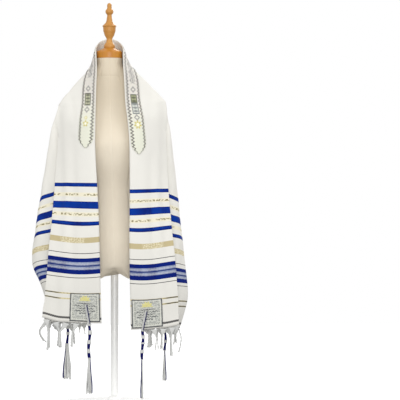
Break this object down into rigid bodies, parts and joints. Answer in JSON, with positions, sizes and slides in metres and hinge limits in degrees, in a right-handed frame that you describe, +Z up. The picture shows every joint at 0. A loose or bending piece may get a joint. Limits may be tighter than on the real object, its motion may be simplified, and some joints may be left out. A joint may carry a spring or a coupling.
{
  "type": "tallit prayer shawl on a dress form",
  "caption": "Fringed prayer shawl with woven stripes, neckband, corner patches and knotted corner tassels, draped open over a limbless dress form on a round stand.",
  "frame": {"origin": "centre of the underside of the round stand, on the floor", "axes": "+Z up, the fronts of the shawl face -Y, +X towards the side that is on the viewer's right"},
  "size_m": [0.4816, 0.33, 1.2393],
  "materials": {
    "cloth": "soft woven wool, matt",
    "band": "woven jacquard band, slight sheen",
    "patch": "woven jacquard patch, slight sheen",
    "cord": "twisted wool cord, matt",
    "form_linen": "tight linen cover, matt",
    "cap_wood": "varnished",
    "finial_wood": "turned, satin",
    "stand_metal": "satin white"
  },
  "bodies": {
    "root": {"shawl": "cloth", "neckband": "band", "patch_front_left": "patch", "patch_front_right": "patch", "patch_side_left": "patch", "patch_side_right": "patch", "tassel_front_left": "cord", "tassel_front_right": "cord", "tassel_side_left": "cord", "tassel_side_right": "cord", "fringe_left": "cord", "fringe_right": "cord", "dress_form": "form_linen", "neck_cap": "cap_wood", "finial": "finial_wood", "stand_pole": "stand_metal", "stand_base": "stand_metal"}
  },
  "joints": []
}
